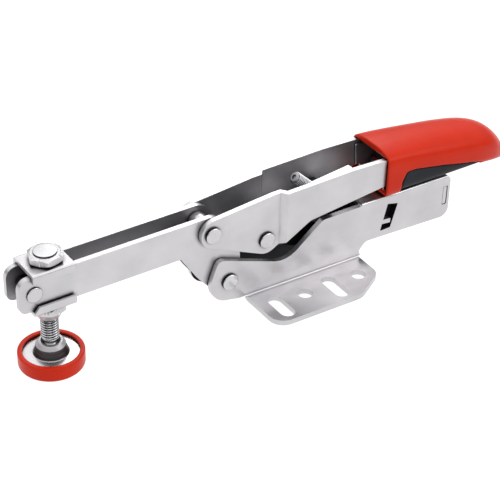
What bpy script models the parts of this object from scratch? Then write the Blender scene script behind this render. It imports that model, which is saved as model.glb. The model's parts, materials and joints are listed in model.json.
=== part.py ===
"""Horizontal toggle clamp with an open clamping arm, a flanged base and a plastic grip.

+X runs from the clamping tip to the grip, +Z is up, and y = 0 is the plane that the plates stand
either side of. The origin is the centre of the base's hole pattern, on its underside.
Sizes below are in millimetres, and MM turns them into metres.
"""
import math

import bmesh
import bpy
from mathutils import Matrix, Vector

MM = 0.001

# Clearances
PLAY = 0.3
SEAM = 0.25
TRIM = 1.5

# Pressed plates, from the middle outwards: arm, then base webs and the front of the handle
SLOT_WIDTH = 8.9
ARM_SHEET = 2.5
BASE_SHEET = 2.5
HANDLE_SHEET = 2.5
HANDLE_JOG = 2.8

ARM_IN = SLOT_WIDTH / 2
ARM_OUT = ARM_IN + ARM_SHEET
WEB_IN = ARM_OUT + PLAY
WEB_OUT = WEB_IN + BASE_SHEET
HANDLE_IN = ARM_OUT + PLAY
HANDLE_OUT = HANDLE_IN + HANDLE_SHEET

# Pivots, as (x, z)
ARM_PIVOT = (-40.2, 13.7)
HANDLE_PIVOT = (-49.3, 40.9)
LINK_PIVOT = (-21.2, 29.2)
SLIDER_PIVOT = (11.4, 18.5)
ARM_DROOP = 0.98

# Rivets and bushes
RIVET_R = 2.4
RIVET_HEAD_R = 3.6
RIVET_HEAD = 1.25
HEAD_DOME = 0.35
BUSH_R = 4.6
TIP_RIVET_R = 1.9
TIP_HEAD_R = 3.3
TIP_HEAD = 0.6
TIP_BUSH_R = 3.1

# Base: one folded sheet with two webs, two flanges and a roof over its rear
FLANGE_HALF_X = 30.8
FLANGE_REACH = 35.0
FLANGE_CORNER = 7.0
FLANGE_CUT_RUN = 15.8
FLANGE_CUT_DEPTH = 10.0
FLANGE_CUT_R = 10.0
FLANGE_END_R = 6.0
FOLD_R = 1.0
ROOF_TOP = 30.8
ROOF_FRONT = 31.3
ROOF_EDGE_R = 1.2
REAR_X = 82.7
WEB_BOTTOM = 8.6
WEB_TOP = 29.6
FRONT_LOBE_R = 9.75
WEB_SLOPE = ((9.4, 29.5, 4.0), (-9.9, 13.7, 12.0))
WEB_SHOULDER = (-5.7, 12.8)
HOLE_MARGIN = 8.75
HOLE_PITCH = (FLANGE_HALF_X - HOLE_MARGIN) / 1.5
HOLE_R = 3.5
HOLE_Y = (WEB_OUT + FLANGE_REACH) / 2 - 0.675
SLOT_R = 3.45
SLOT_MARGIN = 5.8
SLOT_SETBACK = 9.45
WINDOW = ((45.9, 26.3), (42.5, 12.6), (48.3, 12.9), (51.8, 25.0))

# End plate, lugged into the rear of the base
END_X = REAR_X - 2.75
END_SHEET = 2.1
END_TOP = 27.9
END_BOTTOM = 10.0
LUG_LOW = 15.6
LUG_HIGH = 25.0
LUG_SHORT = 0.15

# Clamping arm, in its own frame: u along it from the arm pivot, w square to it
ARM_TOP = 34.65
ARM_BOTTOM = 18.25
ARM_TIP = -100.0
ARM_CORNER = 5.0
ARM_LOW_CORNER = 3.5
ARM_KNEE = -22.9
ARM_FOOT_R = 7.6
ARM_HEAD_R = 7.3
ARM_REAR = 7.0
TIP_RIVET = (ARM_TIP + 7.1, 26.4)

# Spindle and what holds it in the arm's slot
SPINDLE_U = ARM_TIP + 16.3
SPINDLE_R = 3.95
SPINDLE_END = -3.4
SPINDLE_HEAD_R = 5.0
SPINDLE_HEAD = 0.5
NECK_R = 2.3
BALL_R = 3.6
BALL_W = -7.6
NUT_AF = 13.8
NUT_FACE = 0.7
NUT_DROP = 1.2
TOP_NUT = 3.65
LOCK_NUT = 4.2
CONE_LOW_R = 5.0
CONE_TOP_R = 6.4
CONE = 3.1
NUT_TURN = 12.0
SADDLE_SHEET = 1.7
SADDLE_FRONT = SPINDLE_U - 10.3
SADDLE_REAR = SPINDLE_U + 9.1
UPPER_FLANGE = 4.1
LOWER_FLANGE = 4.3
LOWER_SLANT = 3.0
SADDLE_BEND = 1.2

# Pressure pad: a turned steel plate in a plastic cap
HUB_TOP = -4.5
HUB_R = 6.6
HUB_WAIST = 3.4
HUB_ROOT_R = 8.6
MOUTH_R = 3.2
DISC_TOP = -10.7
DISC = 2.0
CAP_R = 14.5
CAP_WALL = 1.2
CAP_HOLD = 0.7
CAP_LIP = 1.0
CAP_FLOOR = 3.7
CAP_EDGE = 1.6
DISC_R = CAP_R - CAP_WALL - PLAY
CAP_LIP_R = DISC_R - CAP_HOLD
CAP_TOP = DISC_TOP + PLAY + CAP_LIP
CAP_BOTTOM = DISC_TOP - DISC - PLAY - CAP_FLOOR

# Handle plates
NOSE = (-48.1, 41.0)
NOSE_R = 7.0
LINK_LOBE_R = 7.1
HANDLE_TOP = ((39.8, 52.35), (21.8, 52.65), (-11.6, 51.5), (-18.2, 51.3))
HANDLE_LOW = ((0.2, 33.7), (9.8, 34.9), (41.0, 38.8))
JOG_START = -14.6
JOG_RUN = 2.2
TANG_TOP = ((46.0, 51.6), (57.0, 50.1), (70.0, 47.8))
TANG_END = 95.5
TANG_END_TOP = 42.4
LIP_START = 1.0
LIP_END = 23.4
LIP_REACH = 3.0
LIP_DEPTH = 2.5

# Grip: a red shell over a dark insert, as (x, half width, crown, floor, arch power, sag) at each station
GRIP = (
    (38.0, 14.4, 55.75, 31.3, 8.8, 1.6),
    (48.0, 14.4, 55.5, 31.3, 7.6, 1.8),
    (59.0, 14.35, 54.9, 31.4, 5.6, 2.0),
    (70.0, 14.3, 54.1, 31.6, 4.1, 2.1),
    (84.0, 14.1, 52.7, 32.2, 2.9, 2.2),
    (98.0, 13.4, 50.3, 32.2, 2.45, 2.2),
    (107.0, 11.8, 46.6, 30.9, 2.3, 2.0),
    (113.5, 9.0, 41.0, 29.3, 2.2, 1.5),
    (117.2, 6.2, 35.4, 28.0, 2.2, 0.9),
    (119.0, 3.8, 31.4, 28.0, 2.2, 0.3),
)
INSERT_FLOOR = 33.0
FLOOR_POWER = 5.0
RING_POINTS = 44
RINGS = 20
MOUTH_X = 41.7
LOBE_REAR = 49.9
RED_EDGE = ((49.6, 38.7), (52.0, 43.9), (57.2, 43.9), (70.6, 41.5), (91.7, 36.8))
INSERT_END = 98.5
CORE_FRONT = 60.0
CORE_FLOOR = 41.0
CORE_DROP = 0.9

# Toggle link and the slider that holds its rear pivot
LINK_HALF = 4.0
LINK_END_R = 6.0
SLIDER_IN = 4.4
SLIDER_OUT = 6.9
SLIDER_HALF_Z = 4.7
SLIDER_SLOT = 27.5
SLIDER_REAR = 34.0
ROD_R = 2.8
ROD_END = 82.4
SPRING_R = 4.7
WIRE_R = 0.6
SPRING_TURNS = 8
SPRING_STEPS = 10
SPRING_START = 42.5

# Adjusting screw and its block
SCREW_AXIS = (13.7, 36.5)
SCREW_ANGLE = 43.0
SCREW_R = 2.9
SCREW_UP = 20.2
SCREW_DOWN = 9.0
SOCKET_AF = 3.0
SOCKET_DEPTH = 3.0
BLOCK_HALF_X = 4.6
BLOCK_LOW = 33.4
BLOCK_HIGH = 39.2

ROUND_STEPS = 26
FILLET_STEP = math.radians(15)


def tidy_scene():
    """Remove what the scene holds, and make the collections for the parts and the cutters."""
    for item in list(bpy.data.objects):
        bpy.data.objects.remove(item)
    for name in ("horizontal_toggle_clamp", "cutters"):
        group = bpy.data.collections.new(name)
        bpy.context.scene.collection.children.link(group)


def outline(*nodes):
    """Closed outline, anticlockwise, through its nodes.

    (a, b) is a sharp corner, (a, b, r) a corner rounded to r, and (a, b, 0, R) a lobe of radius R
    about that point, which the neighbouring edges leave and meet as tangents.
    """
    count = len(nodes)
    lobe = [node[3] if len(node) > 3 else 0.0 for node in nodes]
    centre = [Vector(node[:2]) for node in nodes]
    leave = [None] * count
    arrive = [None] * count
    for i in range(count):
        j = (i + 1) % count
        gap = centre[j] - centre[i]
        along = gap.normalized()
        outward = Vector((along.y, -along.x))
        lean = (lobe[i] - lobe[j]) / gap.length
        normal = outward * math.sqrt(1 - lean * lean) + along * lean
        leave[i] = centre[i] + normal * lobe[i]
        arrive[j] = centre[j] + normal * lobe[j]
    points = []
    for i, node in enumerate(nodes):
        fillet = node[2] if len(node) == 3 else 0.0
        if lobe[i]:
            points += arc(centre[i], arrive[i], leave[i], 1)
        elif fillet:
            before = (leave[i - 1] - centre[i]).normalized()
            after = (arrive[(i + 1) % count] - centre[i]).normalized()
            half = before.angle(after) / 2
            run = fillet / math.tan(half)
            middle = centre[i] + (before + after).normalized() * fillet / math.sin(half)
            turn = 1 if before.x * after.y - before.y * after.x < 0 else -1
            points += arc(middle, centre[i] + before * run, centre[i] + after * run, turn)
        else:
            points.append(tuple(centre[i]))
    return points


def arc(centre, start, end, turn):
    """Points from start to end about the centre, anticlockwise where turn is 1."""
    first = start - centre
    last = end - centre
    begin = math.atan2(first.y, first.x)
    sweep = (math.atan2(last.y, last.x) - begin) * turn % (2 * math.pi)
    steps = max(2, math.ceil(sweep / FILLET_STEP))
    found = []
    for k in range(steps + 1):
        angle = begin + turn * sweep * k / steps
        found.append((centre.x + first.length * math.cos(angle), centre.y + first.length * math.sin(angle)))
    return found


def circle(a, b, radius):
    """A round outline about (a, b)."""
    points = []
    for k in range(ROUND_STEPS):
        angle = 2 * math.pi * k / ROUND_STEPS
        points.append((a + radius * math.cos(angle), b + radius * math.sin(angle)))
    return points


def finish(name, mesh, matrix):
    """An object of the mesh in the part's collection, standing where the matrix says."""
    item = bpy.data.objects.new(name, mesh)
    item.matrix_world = matrix
    bpy.data.collections["horizontal_toggle_clamp"].objects.link(item)
    return item


def extruded(name, loops, half, matrix):
    """A flat outline with holes, extruded half each way along its own z."""
    curve = bpy.data.curves.new(name, "CURVE")
    curve.dimensions = "2D"
    curve.fill_mode = "BOTH"
    curve.extrude = half * MM
    for loop in loops:
        spline = curve.splines.new("POLY")
        spline.points.add(len(loop) - 1)
        for point, (a, b) in zip(spline.points, loop):
            point.co = (a * MM, b * MM, 0, 1)
        spline.use_cyclic_u = True
    sketch = bpy.data.objects.new(name + "_sketch", curve)
    sketch.matrix_world = matrix
    bpy.context.scene.collection.objects.link(sketch)
    graph = bpy.context.evaluated_depsgraph_get()
    mesh = bpy.data.meshes.new_from_object(sketch.evaluated_get(graph))
    bpy.data.objects.remove(sketch)
    work = bmesh.new()
    work.from_mesh(mesh)
    bmesh.ops.remove_doubles(work, verts=work.verts, dist=0.000001)
    work.to_mesh(mesh)
    work.free()
    return finish(name, mesh, matrix)


def along_y(name, loops, low, high, frame=Matrix()):
    """An outline in x and z, solid between two values of y."""
    place = Matrix.Translation((0, (low + high) / 2 * MM, 0)) @ Matrix.Rotation(math.pi / 2, 4, "X")
    return extruded(name, loops, (high - low) / 2, frame @ place)


def along_z(name, loops, low, high, frame=Matrix()):
    """An outline in x and y, solid between two values of z."""
    place = Matrix.Translation((0, 0, (low + high) / 2 * MM))
    return extruded(name, loops, (high - low) / 2, frame @ place)


def along_x(name, loops, low, high, frame=Matrix()):
    """An outline in y and z, solid between two values of x."""
    turn = Matrix(((0, 0, 1, 0), (1, 0, 0, 0), (0, 1, 0, 0), (0, 0, 0, 1)))
    place = Matrix.Translation(((low + high) / 2 * MM, 0, 0)) @ turn
    return extruded(name, loops, (high - low) / 2, frame @ place)


def turned(name, profile, matrix, bore=False):
    """A profile of (radius, height), outer side from the top down, turned about the matrix's z."""
    mesh = bpy.data.meshes.new(name)
    count = len(profile)
    edges = [(k, k + 1) for k in range(count - 1)]
    if bore:
        edges.append((count - 1, 0))
    mesh.from_pydata([(r * MM, 0, h * MM) for r, h in profile], edges, [])
    item = finish(name, mesh, matrix)
    screw = item.modifiers.new("turn", "SCREW")
    screw.steps = ROUND_STEPS
    screw.render_steps = ROUND_STEPS
    screw.use_merge_vertices = True
    screw.merge_threshold = 0.00001
    return item


def combine(target, tool, operation):
    """Boolean of the target with a tool, which then moves to the cutters."""
    step = target.modifiers.new(tool.name, "BOOLEAN")
    step.operation = operation
    step.solver = "EXACT"
    step.object = tool
    bpy.data.collections["horizontal_toggle_clamp"].objects.unlink(tool)
    bpy.data.collections["cutters"].objects.link(tool)
    tool.hide_render = True
    tool.display_type = "WIRE"
    ride(tool, target)


def cut(target, tool):
    combine(target, tool, "DIFFERENCE")


def trim(target, tool):
    combine(target, tool, "INTERSECT")


def join(target, tool):
    combine(target, tool, "UNION")


def ride(item, carrier):
    """Parent the item to its carrier and leave it where it stands."""
    bpy.context.view_layer.update()
    item.parent = carrier
    item.matrix_parent_inverse = carrier.matrix_world.inverted()


def axis_empty(name, matrix, carrier=None):
    """An empty on a joint's axis."""
    empty = bpy.data.objects.new(name, None)
    empty.matrix_world = matrix
    empty.empty_display_size = 0.01
    bpy.data.collections["horizontal_toggle_clamp"].objects.link(empty)
    if carrier:
        ride(empty, carrier)
    return empty


def material(name, colour, roughness, metallic):
    """A Principled material."""
    made = bpy.data.materials.new(name)
    made.use_nodes = True
    shader = made.node_tree.nodes["Principled BSDF"]
    shader.inputs["Base Color"].default_value = (*colour, 1.0)
    shader.inputs["Roughness"].default_value = roughness
    shader.inputs["Metallic"].default_value = metallic
    made.diffuse_color = (*colour, 1.0)
    return made


def dress(items, *look):
    """Give each item a material of its own."""
    for item in items:
        item.data.materials.clear()
        item.data.materials.append(material(item.name, *look))


ZINC = ((0.74, 0.75, 0.76), 0.35, 0.9)
STEEL = ((0.62, 0.62, 0.63), 0.3, 1.0)
RED = ((0.68, 0.05, 0.03), 0.4, 0.0)
DARK = ((0.045, 0.047, 0.05), 0.5, 0.0)


def upright(x, z):
    """A frame at (x, z) on the middle plane."""
    return Matrix.Translation((x * MM, 0, z * MM))


def across(x, z, frame=Matrix()):
    """A frame at (x, z) whose own z runs along y, for pins."""
    return frame @ upright(x, z) @ Matrix.Rotation(-math.pi / 2, 4, "X")


ARM_FRAME = upright(*ARM_PIVOT) @ Matrix.Rotation(math.radians(-ARM_DROOP), 4, "Y")


def in_arm(x, z):
    """A point of the part as (u, w) in the arm's frame."""
    local = ARM_FRAME.inverted() @ Vector((x * MM, 0, z * MM))
    return local.x / MM, local.z / MM


def rivet(name, frame, half_grip, shank, head_r, head):
    """A headed pin along its frame's z, with the heads' seats at half_grip either way."""
    end = half_grip + head
    rim = end - HEAD_DOME
    side = ((0, end), (head_r - 2 * HEAD_DOME, end), (head_r, rim), (head_r, half_grip), (shank, half_grip))
    profile = list(side) + [(r, -h) for r, h in reversed(side)]
    return turned(name, profile, frame)


def ring(name, frame, inner, outer, low, high):
    """A plain bush along its frame's z."""
    return turned(name, [(outer, high), (outer, low), (inner, low), (inner, high)], frame, bore=True)


def rod(name, frame, radius, low, high):
    """A plain cylinder along its frame's z."""
    return turned(name, [(0, high), (radius, high), (radius, low), (0, low)], frame)


def base_body():
    """One folded sheet: flanges with holes and slots, webs with a window, and the rear's roof."""
    blank = FLANGE_REACH + TRIM
    ends = FLANGE_HALF_X + TRIM
    section = outline(
        (blank, 0), (blank, BASE_SHEET), (WEB_OUT, BASE_SHEET, FOLD_R),
        (WEB_OUT, ROOF_TOP, ROOF_EDGE_R), (-WEB_OUT, ROOF_TOP, ROOF_EDGE_R),
        (-WEB_OUT, BASE_SHEET, FOLD_R), (-blank, BASE_SHEET), (-blank, 0),
        (-WEB_IN, 0, FOLD_R + BASE_SHEET), (-WEB_IN, ROOF_TOP - BASE_SHEET),
        (WEB_IN, ROOF_TOP - BASE_SHEET), (WEB_IN, 0, FOLD_R + BASE_SHEET),
    )
    body = along_x("base_body", [section], -FLANGE_HALF_X - 30, REAR_X + 10)
    side = outline(
        (-ends, -TRIM), (ends, -TRIM), (ends, BASE_SHEET), (FLANGE_HALF_X - 0.4, BASE_SHEET + 2.7, 2.5),
        (FLANGE_HALF_X + 3.6, WEB_BOTTOM + 1.1, 4), (REAR_X, WEB_BOTTOM - 0.1, 4.5),
        (REAR_X, ROOF_TOP + SEAM, 3.6), (ROOF_FRONT, ROOF_TOP + SEAM), (ROOF_FRONT - 0.3, WEB_TOP + 0.2, 0.4),
        *WEB_SLOPE, (ARM_PIVOT[0] + WEB_SHOULDER[0], ARM_PIVOT[1] + WEB_SHOULDER[1], 3),
        (*ARM_PIVOT, 0, FRONT_LOBE_R), (-ends, BASE_SHEET),
    )
    trim(body, along_y("base_side", [side], -FLANGE_REACH - 5, FLANGE_REACH + 5))
    cut_x = FLANGE_HALF_X - FLANGE_CUT_RUN
    cut_y = FLANGE_REACH - FLANGE_CUT_DEPTH
    near = [(-FLANGE_HALF_X, -FLANGE_REACH, FLANGE_CORNER), (cut_x, -FLANGE_REACH, FLANGE_CUT_R),
            (FLANGE_HALF_X, -cut_y, FLANGE_END_R)]
    far = [(node[0], -node[1], *node[2:]) for node in reversed(near)]
    around = outline((-90, -60), (90, -60), (90, 60), (-90, 60))
    cut(body, along_z("base_plan", [around, outline(*near, *far)], -5, BASE_SHEET + SEAM))
    opening = outline((-70, -WEB_IN), (ROOF_FRONT - PLAY, -WEB_IN), (ROOF_FRONT - PLAY, WEB_IN), (-70, WEB_IN))
    cut(body, along_z("base_open_front", [opening], ROOF_TOP - BASE_SHEET - 5, ROOF_TOP + 5))
    holes = []
    for side_y in (-1, 1):
        for step in (-0.5, 1.5):
            holes.append(circle(step * HOLE_PITCH, side_y * HOLE_Y, HOLE_R))
        for step in (-1.5, 0.5):
            inner, outer = sorted((side_y * (WEB_OUT + SLOT_SETBACK), side_y * (FLANGE_REACH - SLOT_MARGIN)))
            slot = outline((step * HOLE_PITCH, inner, 0, SLOT_R), (step * HOLE_PITCH, outer, 0, SLOT_R))
            holes.append(slot)
    cut(body, along_z("base_holes", holes, -5, BASE_SHEET + 5))
    lug_x = END_SHEET / 2 + PLAY
    lug = outline(
        (END_X - lug_x, LUG_LOW - PLAY, 0.8), (END_X + lug_x, LUG_LOW - PLAY, 0.8),
        (END_X + lug_x, LUG_HIGH + PLAY, 0.4), (END_X - lug_x, LUG_HIGH + PLAY, 0.4),
    )
    window = outline(*[(x, z, 0.4) for x, z in WINDOW])
    pivot = circle(*ARM_PIVOT, RIVET_R + PLAY)
    cut(body, along_y("base_side_holes", [lug, window, pivot], -WEB_OUT - 5, WEB_OUT + 5))
    return body


def end_plate():
    """Plate across the rear of the base, held by its lugs, with the slider rod's guide hole."""
    half = WEB_IN - PLAY
    lug = WEB_OUT - LUG_SHORT
    shape = outline(
        (-half, END_BOTTOM, 1), (half, END_BOTTOM, 1), (half, LUG_LOW), (lug, LUG_LOW), (lug, LUG_HIGH),
        (half, LUG_HIGH), (half, END_TOP, 1), (-half, END_TOP, 1), (-half, LUG_HIGH), (-lug, LUG_HIGH),
        (-lug, LUG_LOW), (-half, LUG_LOW),
    )
    guide = circle(0, SLIDER_PIVOT[1], ROD_R + PLAY)
    return along_x("end_plate", [shape, guide], END_X - END_SHEET / 2, END_X + END_SHEET / 2)


def arm_plates():
    """The two straight plates of the open clamping arm."""
    head_u, head_w = in_arm(*HANDLE_PIVOT)
    shape = outline(
        (ARM_TIP, ARM_TOP, ARM_CORNER), (ARM_TIP, ARM_BOTTOM, ARM_LOW_CORNER), (ARM_KNEE, ARM_BOTTOM, 2),
        (-13.6, 4.0, 12), (0, 0, 0, ARM_FOOT_R), (ARM_REAR, 12.5, 8), (head_u, head_w, 0, ARM_HEAD_R),
    )
    loops = [
        shape, circle(0, 0, RIVET_R + PLAY), circle(head_u, head_w, RIVET_R + PLAY),
        circle(*TIP_RIVET, TIP_RIVET_R + PLAY),
    ]
    near = along_y("arm_plate_near", loops, -ARM_OUT, -ARM_IN, ARM_FRAME)
    far = along_y("arm_plate_far", loops, ARM_IN, ARM_OUT, ARM_FRAME)
    return near, far


def rivets_and_bushes():
    """The rivets at the arm's pivots and tip, and the bushes that keep its plates apart."""
    head_u, head_w = in_arm(*HANDLE_PIVOT)
    bush = ARM_IN - PLAY
    hole = RIVET_R + PLAY
    return {
        "base_rivet": rivet("base_rivet", across(*ARM_PIVOT), WEB_OUT + PLAY, RIVET_R, RIVET_HEAD_R, RIVET_HEAD),
        "base_bush": ring("base_bush", across(*ARM_PIVOT), hole, BUSH_R, -bush, bush),
        "handle_rivet": rivet(
            "handle_rivet", across(*HANDLE_PIVOT), HANDLE_OUT + PLAY, RIVET_R, RIVET_HEAD_R, RIVET_HEAD),
        "handle_bush": ring("handle_bush", across(head_u, head_w, ARM_FRAME), hole, BUSH_R, -bush, bush),
        "tip_rivet": rivet("tip_rivet", across(*TIP_RIVET, ARM_FRAME), ARM_OUT + PLAY, TIP_RIVET_R,
                           TIP_HEAD_R, TIP_HEAD),
        "tip_bush": ring("tip_bush", across(*TIP_RIVET, ARM_FRAME), TIP_RIVET_R + PLAY, TIP_BUSH_R, -bush, bush),
    }


def saddles():
    """The two bent plates that hold the spindle on the arm's upper and lower edges."""
    inner = ARM_OUT + PLAY
    outer = inner + SADDLE_SHEET
    seat = ARM_TOP + PLAY
    upper = along_x("upper_saddle", [outline(
        (outer, seat - UPPER_FLANGE + SADDLE_SHEET), (outer, seat + SADDLE_SHEET, SADDLE_BEND),
        (-outer, seat + SADDLE_SHEET, SADDLE_BEND), (-outer, seat - UPPER_FLANGE + SADDLE_SHEET),
        (-inner, seat - UPPER_FLANGE + SADDLE_SHEET), (-inner, seat), (inner, seat),
        (inner, seat - UPPER_FLANGE + SADDLE_SHEET),
    )], SADDLE_FRONT, SADDLE_REAR, ARM_FRAME)
    bore = [circle(SPINDLE_U, 0, SPINDLE_R + PLAY)]
    cut(upper, along_z("upper_saddle_hole", bore, seat - 2, seat + SADDLE_SHEET + 2, ARM_FRAME))
    seat = ARM_BOTTOM - PLAY
    tall = seat - SADDLE_SHEET + LOWER_FLANGE
    lower = along_x("lower_saddle", [outline(
        (-outer, seat - SADDLE_SHEET, SADDLE_BEND), (outer, seat - SADDLE_SHEET, SADDLE_BEND), (outer, tall),
        (inner, tall), (inner, seat), (-inner, seat), (-inner, tall), (-outer, tall),
    )], SADDLE_FRONT, SADDLE_REAR, ARM_FRAME)
    cut(lower, along_z("lower_saddle_hole", bore, seat - 5, seat + 2, ARM_FRAME))
    shape = outline(
        (SADDLE_FRONT, seat - 5), (SADDLE_REAR + TRIM, seat - 5), (SADDLE_REAR + TRIM, tall + 1),
        (SADDLE_FRONT + LOWER_SLANT, tall + 1), (SADDLE_FRONT, seat))
    trim(lower, along_y("lower_saddle_slant", [shape], -outer - 5, outer + 5, ARM_FRAME))
    return upper, lower


def hexagon(name, low, high, frame):
    """A hexagonal prism about the frame's z."""
    mesh = bpy.data.meshes.new(name)
    work = bmesh.new()
    place = Matrix.Translation((0, 0, (low + high) / 2 * MM)) @ Matrix.Rotation(math.radians(NUT_TURN), 4, "Z")
    radius = NUT_AF / math.sqrt(3) * MM
    bmesh.ops.create_cone(work, cap_ends=True, segments=6, radius1=radius, radius2=radius,
                          depth=(high - low) * MM, matrix=place)
    work.to_mesh(mesh)
    work.free()
    return finish(name, mesh, frame)


def spindle_frame():
    return ARM_FRAME @ Matrix.Translation((SPINDLE_U * MM, 0, 0))


def nuts():
    """The chamfered nut above the arm and the hexagonal one with a conical nose below it."""
    frame = spindle_frame()
    bore = SPINDLE_R + PLAY
    corner = NUT_AF / math.sqrt(3)
    low = ARM_TOP + PLAY + SADDLE_SHEET + SEAM
    high = low + TOP_NUT
    top = hexagon("top_nut", low, high, frame)
    drop = NUT_DROP
    face = NUT_AF / 2 - NUT_FACE
    trim(top, turned("top_nut_chamfer", [
        (0, high), (face, high), (corner + 0.2, high - drop), (corner + 0.2, low - 1), (0, low - 1)], frame))
    cut(top, rod("top_nut_bore", frame, bore, low - 2, high + 2))
    high = ARM_BOTTOM - PLAY - SADDLE_SHEET - SEAM
    low = high - LOCK_NUT
    lower = hexagon("lock_nut", low - CONE, high, frame)
    trim(lower, turned("lock_nut_form", [
        (0, high), (face, high), (corner + 0.2, high - drop), (corner + 0.2, low + drop), (CONE_TOP_R, low),
        (CONE_LOW_R, low - CONE), (0, low - CONE)], frame))
    cut(lower, rod("lock_nut_bore", frame, bore, low - CONE - 2, high + 2))
    return top, lower


def spindle():
    """Threaded rod with a peened upper end and a ball at its foot."""
    head = ARM_TOP + PLAY + SADDLE_SHEET + SEAM + TOP_NUT + SEAM
    profile = [(0, head + SPINDLE_HEAD), (SPINDLE_HEAD_R - 0.3, head + SPINDLE_HEAD),
               (SPINDLE_HEAD_R, head + SPINDLE_HEAD - 0.3), (SPINDLE_HEAD_R, head), (SPINDLE_R, head),
               (SPINDLE_R, SPINDLE_END + 0.6), (SPINDLE_R - 0.6, SPINDLE_END)]
    first = math.degrees(math.asin(NECK_R / BALL_R))
    neck_w = BALL_W + BALL_R * math.cos(math.radians(first))
    profile += [(NECK_R, SPINDLE_END), (NECK_R, neck_w)]
    turns = 10
    for k in range(1, turns + 1):
        angle = math.radians(first + (180 - first) * k / turns)
        profile.append((BALL_R * math.sin(angle), BALL_W + BALL_R * math.cos(angle)))
    profile[-1] = (0, BALL_W - BALL_R)
    return turned("spindle", profile, spindle_frame())


def pad():
    """The pad's turned steel plate, hollow for the ball, and the plastic cap that it sits in."""
    frame = spindle_frame()
    hollow = BALL_R + PLAY + 0.05
    start = math.pi - math.asin(MOUTH_R / hollow)
    bottom = DISC_TOP - DISC
    turns = 10
    profile = [(0, BALL_W - hollow)]
    for k in range(1, turns + 1):
        angle = start * k / turns
        profile.append((hollow * math.sin(angle), BALL_W - hollow * math.cos(angle)))
    profile += [(MOUTH_R + 0.8, HUB_TOP), (HUB_R - 0.5, HUB_TOP), (HUB_R, HUB_TOP - 0.5),
                (HUB_R, HUB_TOP - HUB_WAIST), (HUB_ROOT_R, DISC_TOP), (DISC_R, DISC_TOP), (DISC_R, bottom), (0, bottom)]
    plate = turned("pad_plate", profile, frame)
    groove = DISC_R + PLAY
    cap = turned("pad_cap", [
        (0, bottom - PLAY), (groove, bottom - PLAY), (groove, DISC_TOP + PLAY), (CAP_LIP_R, DISC_TOP + PLAY),
        (CAP_LIP_R, CAP_TOP), (CAP_R - 0.6, CAP_TOP), (CAP_R, CAP_TOP - 0.6), (CAP_R, CAP_BOTTOM + CAP_EDGE),
        (CAP_R - CAP_EDGE, CAP_BOTTOM), (0, CAP_BOTTOM)], frame)
    return plate, cap


def top_edge(x):
    """Height of the handle plates' upper edge between the jog and the grip."""
    (x1, z1), (x0, z0) = HANDLE_TOP[1], HANDLE_TOP[2]
    return z0 + (z1 - z0) * (x - x0) / (x1 - x0)


def tang(spare):
    """The plates' outline inside the grip, upper and lower edge, grown by the spare clearance."""
    upper = (*[(x, z + spare) for x, z in TANG_TOP], (TANG_END + spare, TANG_END_TOP + spare, 2))
    seam = [(x, z + 1.3 - spare) for x, z in RED_EDGE[1:]]
    lower = ((46.4, 39.5 - spare, 3), (seam[0][0] - spare, seam[0][1], 2), *seam[1:],
             (TANG_END + spare, seam[-1][1] - 0.6, 2))
    return upper, lower


def handle_plates():
    """The two plates of the handle, each jogged outwards behind the toggle and run into the grip."""
    upper, lower = tang(0)
    side = outline(
        (*NOSE, 0, NOSE_R), (*LINK_PIVOT, 0, LINK_LOBE_R), (*HANDLE_LOW[0], 6), HANDLE_LOW[1], HANDLE_LOW[2],
        *lower, *reversed(upper), *HANDLE_TOP,
    )
    loops = [circle(*HANDLE_PIVOT, RIVET_R + PLAY), circle(*LINK_PIVOT, RIVET_R + PLAY)]
    bend = HANDLE_SHEET * math.tan(math.atan2(HANDLE_JOG, JOG_RUN) / 2)
    jog_end = JOG_START + JOG_RUN
    plates = []
    for name, sign in (("handle_plate_near", -1), ("handle_plate_far", 1)):
        plan = [
            (-70, HANDLE_IN), (JOG_START + bend, HANDLE_IN), (jog_end + bend, HANDLE_IN + HANDLE_JOG),
            (TANG_END + 10, HANDLE_IN + HANDLE_JOG), (TANG_END + 10, HANDLE_OUT + HANDLE_JOG),
            (jog_end, HANDLE_OUT + HANDLE_JOG), (JOG_START, HANDLE_OUT), (-70, HANDLE_OUT),
        ]
        section = [(x, sign * y) for x, y in plan]
        plate = along_z(name, [section], 0, 70)
        trim(plate, along_y(name + "_side", [side], -30, 30))
        cut(plate, along_y(name + "_holes", loops, -30, 30))
        plates.append(plate)
    near = plates[0]
    inner = HANDLE_IN + HANDLE_JOG
    strip = [(LIP_START, top_edge(LIP_START) - LIP_DEPTH), (LIP_END, top_edge(LIP_END) - LIP_DEPTH),
             (LIP_END, top_edge(LIP_END)), (LIP_START, top_edge(LIP_START))]
    lip = along_y("lip", [strip], -inner - 1, -inner + LIP_REACH)
    wedge = outline((LIP_START - 1, -inner - 2), (LIP_END + 1, -inner - 2), (LIP_END + 1, -inner + LIP_REACH),
                    (LIP_START - 1, -inner + 0.4))
    trim(lip, along_z("lip_taper", [wedge], 40, 60))
    join(near, lip)
    return plates


def link_and_rivets():
    """The toggle link, its washers and rivet at the handle, and the pin at its rear end."""
    ends = outline((*LINK_PIVOT, 0, LINK_END_R), (*SLIDER_PIVOT, 0, LINK_END_R))
    hole = RIVET_R + PLAY
    link = along_y("toggle_link", [ends, circle(*LINK_PIVOT, hole), circle(*SLIDER_PIVOT, hole)],
                   -LINK_HALF, LINK_HALF)
    washer_in = LINK_HALF + PLAY
    washer_out = HANDLE_IN - PLAY
    near = ring("link_washer_near", across(*LINK_PIVOT), hole, BUSH_R, -washer_out, -washer_in)
    far = ring("link_washer_far", across(*LINK_PIVOT), hole, BUSH_R, washer_in, washer_out)
    pivot = rivet("link_rivet", across(*LINK_PIVOT), HANDLE_OUT + PLAY, RIVET_R, RIVET_HEAD_R, RIVET_HEAD)
    pin = turned("link_pin", [(0, LINK_HALF), (RIVET_R, LINK_HALF), (RIVET_R, -LINK_HALF), (0, -LINK_HALF)],
                 across(*SLIDER_PIVOT))
    return link, near, far, pivot, pin


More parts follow.
